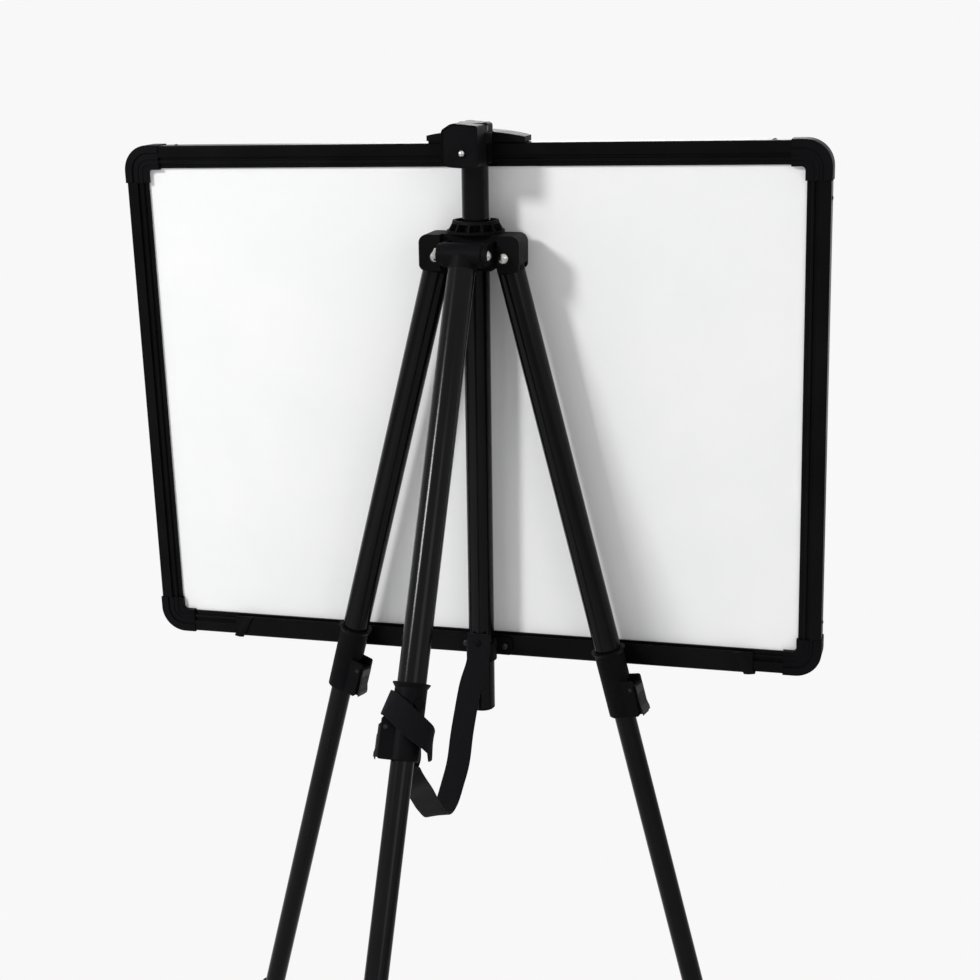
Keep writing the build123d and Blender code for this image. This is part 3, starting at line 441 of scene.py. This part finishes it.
def buildStrap():
    # a superellipse section is carried along a smooth line; its width turns with the route
    points, ways = strapPath()
    centres = smoothThrough(points, strap["step"])
    ways = smoothThrough(ways, strap["step"])
    ahead = unit(np.gradient(centres, axis=0))
    ways = unit(ways - ahead * (ways * ahead).sum(1, keepdims=True))
    normals = np.cross(ahead, ways)
    along = np.concatenate([[0], np.cumsum(np.linalg.norm(np.diff(centres, axis=0), axis=1))])
    (start, startFade), (end, endFade) = strap["slackFrom"], strap["slackTo"]
    slack = np.clip((along - start) / startFade, 0, 1) * np.clip((end - along) / endFade, 0, 1)
    centres = centres + normals * (strap["waver"] * np.sin(along * strap["waverTurn"]) * slack)[:, None]
    # the section: cosine and sine of the turn, each raised to a small power with its sign kept
    halfWidth, halfThickness = strap["width"] / 2000, strap["thickness"] / 2000
    angle = np.linspace(0, 2 * math.pi, strap["sides"], endpoint=False)
    across = np.sign(np.cos(angle)) * np.abs(np.cos(angle)) ** strap["squareness"] * halfWidth
    through = np.sign(np.sin(angle)) * np.abs(np.sin(angle)) ** strap["squareness"] * halfThickness
    rings = centres[:, None] + across[None, :, None] * ways[:, None]
    rings = rings + through[None, :, None] * normals[:, None]
    cup = (1 - (across / halfWidth) ** 2) * strap["cup"]
    rings = rings + normals[:, None] * (cup[None, :] * slack[:, None])[..., None]
    uv = np.stack(np.broadcast_arrays(along[:, None], across[None, :]), -1)
    uv = np.concatenate([uv[:1], uv, uv[-1:]])
    piece = mergeAndFaceOut(gridMesh("webbingStrap", closeEnds(rings), closeColumns=True, uv=uv))
    dress(piece, materials["webbing"])
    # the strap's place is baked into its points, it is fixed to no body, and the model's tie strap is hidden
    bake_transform(piece)
    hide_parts("tie_strap")


print("strap")
buildStrap()


# lever grips: a ribbed thumb pad on the face of each lever

grip = dict(
    width=10.4, length=20.0, ribs=5, height=0.45,
    ground=0.05, buried=-0.3, back=-0.6,    # heights between the ribs, at the rim and behind the pad
    ribRound=0.6, fadeShare=9, fadeRound=0.5,    # a ninth of the length fades at either end
    fromPin=5.0, reach=4.9,    # from the lever's pin down to the pad and out to the lever's face
    pinOut=7.4, pinDown=8.0, blockUp=4.0,    # the pin, from the tube's face and the lock's place
)


def buildGrip(side, lockName):
    # a pad whose height is a row of rounded ribs across its width, fading to nothing at its ends
    leg, lock = legs[side], locks[lockName]
    leverFace = lock["inner"] / 2 + grip["pinOut"] + grip["reach"]
    top = lock["joint"] - grip["blockUp"] + grip["pinDown"] + grip["fromPin"]
    across = np.linspace(-1, 1, 61)
    down = np.linspace(0, 1, 29)
    ribs = np.abs(np.cos(across * math.pi * grip["ribs"] / 2)) ** grip["ribRound"]
    fade = np.clip(np.minimum(down, 1 - down) * grip["fadeShare"], 0, 1) ** grip["fadeRound"]
    height = grip["ground"] + grip["height"] * ribs[None, :] * fade[:, None]
    height[[0, -1]] = grip["buried"]
    height[:, [0, -1]] = grip["buried"]
    y = np.broadcast_to(across * grip["width"] / 2, height.shape)
    z = -(top + down[:, None] * grip["length"] + 0 * height)
    front = np.stack([leverFace + height, y, z], -1)
    back = np.stack([leverFace + grip["back"] + 0 * height, y, z], -1)
    space = leg["space"] @ spaceAt((0, 0, 0), "Z", leg["lockTurn"])
    shell = toRow(np.concatenate([front, back[::-1]]), space)
    piece = gridMesh(f"{side}{lockName.title()}LeverGrip", shell, closeRows=True)
    mergeAndFaceOut(piece, shut=True)
    return addPiece(piece, f"{side}_leg_{lockName}_lock_lever", "lever")


print("lever grips")
for side in legs:
    for lockName in locks:
        buildGrip(side, lockName)


# the clamp's housing: a moulded box set a little to one side, with a sloped shoulder

clampBox = dict(
    # side and height of the outline's corners in mast space, each with the radius of its bend
    outline=[(-10.7, 71.8, 3.0), (-10.7, 104.5, 2.5), (10.5, 106.4, 3.0),
             (19.0, 101.0, 2.5), (19.3, 73.5, 3.5), (8.0, 71.5, 8.0)],
    depths=(-16.0, 29.5), dish=1.6,
)


def roundedOutline(corners, steps=8):
    # each corner is replaced by a quadratic bend that starts and ends its radius away along both sides
    corners = np.array(corners, float)
    point, radius = corners[:, :2], corners[:, 2:]
    before, after = unit(np.roll(point, 1, 0) - point), unit(np.roll(point, -1, 0) - point)
    t = np.linspace(0, 1, steps)[None, :, None]
    start, end = point + before * radius, point + after * radius
    bend = start[:, None] * (1 - t) ** 2 + 2 * point[:, None] * t * (1 - t) + end[:, None] * t ** 2
    return bend.reshape(-1, 2)


def dishedBox(name, outline, depths, dish, space):
    # the outline carried from front to rear; each end is a shallow dish, whose wall slopes in from the
    # rim as far as it goes down, in steps that follow a sine, and whose floor is closed to its middle
    front, rear = depths
    sink = dish * (1 - np.sin(np.linspace(0, math.pi / 2, 5)))
    depth = np.concatenate([front + sink, rear - sink[::-1]])
    inset = np.concatenate([sink, sink[::-1]])
    ahead = unit(np.roll(outline, -1, 0) - np.roll(outline, 1, 0))
    inward = np.stack([-ahead[:, 1], ahead[:, 0]], 1)
    inward = inward * np.sign((inward * (outline.mean(0) - outline)).sum(1, keepdims=True))
    rings = outline[None] + inward[None] * inset[:, None, None]
    y = np.broadcast_to(depth[:, None], rings.shape[:2])
    points = closeEnds(np.stack([rings[..., 0], y, rings[..., 1]], -1))
    piece = mergeAndFaceOut(gridMesh(name, toRow(points, space), closeColumns=True))
    piece.data.set_sharp_from_angle(angle=sharpFrom)
    return piece


def buildClampBox():
    outline = roundedOutline(clampBox["outline"])
    piece = dishedBox("clampHousing", outline, clampBox["depths"], clampBox["dish"], mastSpace)
    return addPiece(piece, "top_clamp", "hub", ["clamp_block"])


print("clamp housing")
buildClampBox()


# the wide hook over the frame's upper edge, with a lip down its front and a seat rib along the frame

hook = dict(
    base=89.1, endHeight=4.4, crown=4.0, half=41.5, shift=3.65, rear=-14.5, nose=-35.3, bow=9.0,
    ring=14.0, bore=11.3, neckHalf=12.0, neckBend=0.3,
    lipRear=-32.3, lipDrop=7.0, lipHalf=34.0, lipBend=1.0,
    sunk=1.0, blockDish=0.3,    # how far a part runs into the next one, and the dish of its ends
    # the seat rib stops short of the blade at each end and of the lip and the blade's rear in depth
    seatInset=1.0, seatFront=0.5, seatRear=1.5, seatClear=0.05, seatSunk=0.4, seatDish=0.02, seatBend=0.1,
    # each peg: half its width at the foot and the tip, its height over the crown and its depths
    pegs=(-3.5, 17.1), pegFoot=4.4, pegTip=2.2, pegHeight=7.0, pegDepths=(-26.5, -20.5),
    pegSunk=2.0, pegDish=0.6, pegFootBend=0.3, pegTipBend=1.4,
)


def buildHook():
    # the blade's section is carried across its width: its crown and its nose both follow a parabola
    look = hook
    across = np.linspace(-1, 1, 41)
    bow = 1 - across ** 2
    x = look["shift"] + across * look["half"]
    base, rear, sunk = look["base"], look["rear"], look["sunk"]
    crest = base + look["endHeight"] + look["crown"]
    top = base + look["endHeight"] + look["crown"] * bow
    front = look["nose"] - look["bow"] * bow
    corners = [(0 * x + rear, 0 * x + base), (0 * x + rear, top), (front, top), (front, 0 * x + base)]
    blade = closeEnds(np.stack([np.stack([x, y, z], -1) for y, z in corners], 1))
    parts = [gridMesh("blade", toRow(blade, mastSpace), closeColumns=True)]
    # the ring round the mast is its own section turned about the mast's axis
    angle = np.linspace(0, 2 * math.pi, 64, endpoint=False)[:, None]
    radius = np.array([[look["ring"], look["ring"], look["bore"], look["bore"]]])
    height = np.array([[base, crest, crest, base]]) + 0 * angle
    ring = np.stack([radius * np.cos(angle), radius * np.sin(angle), height], -1)
    parts.append(gridMesh("ring", toRow(ring, mastSpace), closeRows=True, closeColumns=True))

    def block(sides, heights, depths, bend):
        (x0, x1), (z0, z1) = sides, heights
        outline = roundedOutline([(x0, z0, bend), (x0, z1, bend), (x1, z1, bend), (x1, z0, bend)], 5)
        parts.append(dishedBox("block", outline, depths, look["blockDish"], mastSpace))

    neckSides = (-look["neckHalf"], look["neckHalf"])
    block(neckSides, (base, crest), (rear - sunk, -look["bore"]), look["neckBend"])
    lipSides = (look["shift"] - look["lipHalf"], look["shift"] + look["lipHalf"])
    block(lipSides, (base - look["lipDrop"], base + sunk), (look["nose"], look["lipRear"]), look["lipBend"])
    # the seat rib is level above, and its foot follows the frame's slightly rolled edge
    roll = math.radians(stand["boardRoll"])
    edge = boardUp + stand["boardHeight"] / 2 / math.cos(roll) + look["seatClear"]
    reach = look["half"] - look["seatInset"]
    ends = look["shift"] + np.array([-reach, reach])
    feet = edge - math.tan(roll) * (ends - boardSide)
    seatTop, bend = base + look["seatSunk"], look["seatBend"]
    seat = [(ends[0], feet[0], bend), (ends[0], seatTop, bend),
            (ends[1], seatTop, bend), (ends[1], feet[1], bend)]
    seatDepths = (look["lipRear"] + look["seatFront"], rear - look["seatRear"])
    parts.append(dishedBox("seat", roundedOutline(seat, 3), seatDepths, look["seatDish"], mastSpace))
    foot, tip = crest - look["pegSunk"], crest + look["pegHeight"]
    pegSides = [(-look["pegFoot"], foot, look["pegFootBend"]), (-look["pegTip"], tip, look["pegTipBend"]),
                (look["pegTip"], tip, look["pegTipBend"]), (look["pegFoot"], foot, look["pegFootBend"])]
    for place in look["pegs"]:
        peg = roundedOutline([(place + aside, up, bend) for aside, up, bend in pegSides], 6)
        parts.append(dishedBox("peg", peg, look["pegDepths"], look["pegDish"], mastSpace))
    piece = mergeAndFaceOut(joinPieces("topHook", parts))
    piece.data.set_sharp_from_angle(angle=sharpFrom)
    return addPiece(piece, "top_clamp", "hub", ["top_hook"])


print("hook")
buildHook()


# printed pitch on the playing side

pitch = dict(
    length=520.0, width=350.0, line=2.2, thickness=0.12, sunk=0.01,
    circle=46.0, corner=10.0, spot=56.0, spotRadius=2.6,    # spot is its distance from the goal line
    box=(80.0, 200.0), goalBox=(28.0, 96.0),    # depth and width
)
sheetFace = -(stand["frameDepth"] / 2 + stand["panel"] / 2 + stand["sheet"])


def printedLine(name, path, closed=False):
    # a thin flat band along a path drawn on the front sheet
    path = np.asarray(path, float)
    if closed:
        ahead = unit(np.roll(path, -1, 0) - np.roll(path, 1, 0))
    else:
        ahead = unit(np.gradient(path, axis=0))
    side = np.stack([-ahead[:, 1], ahead[:, 0]], 1) * pitch["line"] / 2
    low, high = sheetFace + pitch["sunk"], sheetFace - pitch["thickness"]
    corners = [(path - side, low), (path + side, low), (path + side, high), (path - side, high)]
    rings = np.stack([np.stack([c[:, 0], 0 * c[:, 0] + depth, c[:, 1]], 1) for c, depth in corners], 1)
    points = toRow(rings, boardSpace)
    if not closed:
        points = closeEnds(points)
    return gridMesh(name, points, closeRows=closed, closeColumns=True, smooth=False)


def buildPitch():
    # straight lines, boxes, spots and corner arcs, the centre circle and the arcs outside the boxes
    halfL, halfW = pitch["length"] / 2, pitch["width"] / 2
    halfLine = pitch["line"] / 2
    parts = []

    def straight(x0, y0, x1, y1):
        parts.append(printedLine("line", np.linspace((x0, y0), (x1, y1), 5)))

    def arc(x, y, radius, start, end):
        angle = np.radians(np.linspace(start, end, 49))
        path = np.stack([x + radius * np.cos(angle), y + radius * np.sin(angle)], 1)
        parts.append(printedLine("arc", path))

    quarters = {(-1, -1): (0, 90), (-1, 1): (-90, 0), (1, -1): (90, 180), (1, 1): (180, 270)}
    for sign in (-1, 1):
        straight(-halfL - halfLine, sign * halfW, halfL + halfLine, sign * halfW)
        straight(sign * halfL, -halfW, sign * halfL, halfW)
        for depth, width in (pitch["box"], pitch["goalBox"]):
            edge = sign * (halfL - depth)
            straight(edge, -width / 2 - halfLine, edge, width / 2 + halfLine)
            for end in (-1, 1):
                straight(sign * halfL, end * width / 2, edge, end * width / 2)
        spot = sign * (halfL - pitch["spot"])
        arc(spot, 0, pitch["spotRadius"], 0, 360)
        for end in (-1, 1):
            arc(sign * halfL, end * halfW, pitch["corner"], *quarters[(sign, end)])
        reach = math.degrees(math.acos((pitch["box"][0] - pitch["spot"]) / pitch["circle"]))
        inwards = 180 if sign > 0 else 0
        arc(spot, 0, pitch["circle"], inwards - reach, inwards + reach)
    straight(0, -halfW, 0, halfW)
    arc(0, 0, pitch["circle"], 0, 360)
    arc(0, 0, pitch["spotRadius"], 0, 360)
    piece = mergeAndFaceOut(joinPieces("pitchMarkings", parts))
    return addPiece(piece, "stand", "ink")


print("pitch markings")
buildPitch()


# cross-slotted heads of the bracket's screws

screwHead = dict(
    radius=2.9, height=1.8, spacing=35.0, drop=343.8,
    flange=1.5, plate=2.2, sunk=1.5,    # the tray's flange and the bracket's plate lie under the head
    slot=0.5, slotLength=1.7, slotDepth=0.9,    # half the width and half the length of each arm
)


def buildScrewHeads():
    # a dome over the plane, its height lowered where either arm of the cross passes
    parts = []
    radius = np.linspace(0, 1, 26)[:, None] * screwHead["radius"]
    angle = np.linspace(0, 2 * math.pi, 72, endpoint=False)[None, :]
    x, z = radius * np.cos(angle), radius * np.sin(angle)
    dome = screwHead["height"] * np.sqrt(np.clip(1 - (radius / screwHead["radius"]) ** 2, 0, 1)) + 0 * angle
    fromArm, alongArm = np.minimum(np.abs(x), np.abs(z)), np.maximum(np.abs(x), np.abs(z))
    inCross = (fromArm < screwHead["slot"]) & (alongArm < screwHead["slotLength"])
    dome = np.where(inCross, dome - screwHead["slotDepth"], dome)
    seat = stand["frameRear"] + screwHead["flange"] + screwHead["plate"]
    for sign in (-1, 1):
        head = np.stack([x + sign * screwHead["spacing"] / 2, seat + dome, z - screwHead["drop"]], -1)
        foot = head[-1:].copy()
        foot[..., 1] = seat - screwHead["sunk"]
        middle = foot.mean(axis=1, keepdims=True) + 0 * foot
        points = toRow(np.concatenate([head, foot, middle]), mastSpace)
        parts.append(gridMesh("screw", points, closeColumns=True))
    piece = mergeAndFaceOut(joinPieces("bracketScrewHeads", parts))
    return addPiece(piece, "stand", "screw", ["bracket_screws"])


print("screw heads")
buildScrewHeads()


# floor, world, lamps and camera, placed in metres in the row frame

studio = dict(
    background="#F8F8F8", world=0.40,
    floorRings=(0.0, 0.4, 0.8, 1.6, 4.0, 12.0), floorDrop=0.0002, floorFade=(0.45, 0.95),
    camera=(-0.39696, 1.25425, 1.02409), cameraTurn=(83.2963, -1.898, -164.2783),
    focalPixels=1709.35, pictureWidth=980, sensor=36,    # fitted to the board in the photograph
    aim=(0.0, -0.1, 0.8),
    # each lamp's place, its size across in metres and its power in watts
    lamps=dict(
        keyLamp=((1.9, 2.3, 2.1), 0.55, 62),
        fillLamp=((-2.2, 2.4, 1.6), 1.6, 10),
        frontLamp=((0.6, -2.8, 2.4), 1.6, 29),
    ),
)


def buildFloor():
    # a round floor: near the stand it takes shadows, further out it is the backdrop's own tone
    angle = np.linspace(0, 2 * math.pi, 96, endpoint=False)[None, :]
    radius = np.array(studio["floorRings"])[:, None]
    height = 0 * radius * angle - studio["floorDrop"]
    points = np.stack([radius * np.cos(angle), radius * np.sin(angle), height], -1)
    floor = mergeAndFaceOut(gridMesh("studioFloor", points, closeColumns=True))
    if floor.data.polygons[0].normal.z < 0:
        floor.data.flip_normals()
    shader = {"Base Color": hexLinear(studio["background"]), "Roughness": 0.9, "Specular IOR Level": 0.1}
    material, tree, surface, coords, output = startMaterial("studioPaper", shader)
    distance = addNode(tree, "ShaderNodeVectorMath", {"operation": "LENGTH"}, {0: coords.outputs["Object"]})
    nearest, furthest = studio["floorFade"]
    fade = addNode(tree, "ShaderNodeMapRange",
                   {"interpolation_type": "SMOOTHSTEP", "From Min": nearest, "From Max": furthest},
                   {"Value": distance.outputs["Value"]})
    paper = addNode(tree, "ShaderNodeEmission", {"Color": hexLinear(studio["background"])})
    path = addNode(tree, "ShaderNodeLightPath")
    seen = addNode(tree, "ShaderNodeMath", {"operation": "MULTIPLY"},
                   {0: fade.outputs["Result"], 1: path.outputs["Is Camera Ray"]})
    mix = addNode(tree, "ShaderNodeMixShader", {},
                  {0: seen.outputs[0], 1: surface.outputs["BSDF"], 2: paper.outputs["Emission"]})
    tree.links.new(mix.outputs[0], output.inputs["Surface"])
    dress(floor, material)


def addLamp(name, location, size, watts):
    light = bpy.data.lights.new(name, "AREA")
    light.shape = "DISK"
    light.size = size
    light.energy = watts
    lamp = bpy.data.objects.new(name, light)
    lamp.location = location
    aim = np.array(studio["aim"]) - np.array(location)
    lamp.rotation_euler = Vector(aim).to_track_quat("-Z", "Y").to_euler()
    bpy.context.collection.objects.link(lamp)


def buildWorld():
    # a soft white light on the object; camera, mirror and glass rays see the backdrop's tone
    world = bpy.data.worlds.new("whiteStudio")
    world.use_nodes = True
    tree = world.node_tree
    tree.nodes.clear()
    soft = addNode(tree, "ShaderNodeBackground", {"Color": hexLinear("#FFFFFF"), "Strength": studio["world"]})
    shown = addNode(tree, "ShaderNodeBackground", {"Color": hexLinear(studio["background"]), "Strength": 1.0})
    path = addNode(tree, "ShaderNodeLightPath")
    seen = path.outputs["Is Camera Ray"]
    for ray in ("Is Glossy Ray", "Is Transmission Ray"):
        either = addNode(tree, "ShaderNodeMath", {"operation": "MAXIMUM"}, {0: seen, 1: path.outputs[ray]})
        seen = either.outputs[0]
    mix = addNode(tree, "ShaderNodeMixShader", {}, {0: seen, 1: soft.outputs[0], 2: shown.outputs[0]})
    addNode(tree, "ShaderNodeOutputWorld", {}, {"Surface": mix.outputs[0]})
    bpy.context.scene.world = world


def buildCamera():
    data = bpy.data.cameras.new("photoCamera")
    data.lens = studio["focalPixels"] / studio["pictureWidth"] * studio["sensor"]
    data.sensor_width = studio["sensor"]
    camera = bpy.data.objects.new("photoCamera", data)
    camera.location = studio["camera"]
    camera.rotation_euler = Euler([math.radians(turn) for turn in studio["cameraTurn"]], "XYZ")
    bpy.context.collection.objects.link(camera)
    bpy.context.scene.camera = camera


print("studio")
buildFloor()
buildWorld()
for lampName, (place, size, watts) in studio["lamps"].items():
    addLamp(lampName, place, size, watts)
buildCamera()
bpy.context.scene.view_settings.view_transform = "Standard"
